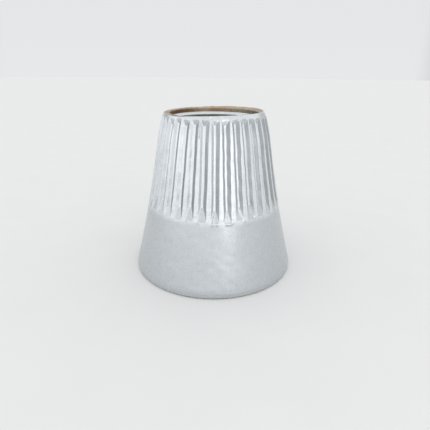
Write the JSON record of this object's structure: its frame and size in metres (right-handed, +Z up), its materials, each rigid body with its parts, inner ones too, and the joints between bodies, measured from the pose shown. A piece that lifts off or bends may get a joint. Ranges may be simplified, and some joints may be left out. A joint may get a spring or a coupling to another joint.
{
  "type": "cone crusher mantle",
  "caption": "Hollow bell-shaped crusher cone with upright ribs on its upper wall, a smooth neck and skirt, conical seats inside and a turned mouth at the top.",
  "frame": {"origin": "centre of the flat face at the foot, on the cone's axis", "axes": "+Z up the cone's axis from the foot to the neck; a groove between two ribs faces -Y; the lip, trimmed a little out of level, is lowest at -X"},
  "size_m": [1.0338, 1.034, 1],
  "materials": {
    "painted_casting": "silver paint sprayed over rough cast steel, the turned band in the mouth bare and rusty"
  },
  "bodies": {
    "root": {"mantle": "painted_casting"}
  },
  "joints": []
}
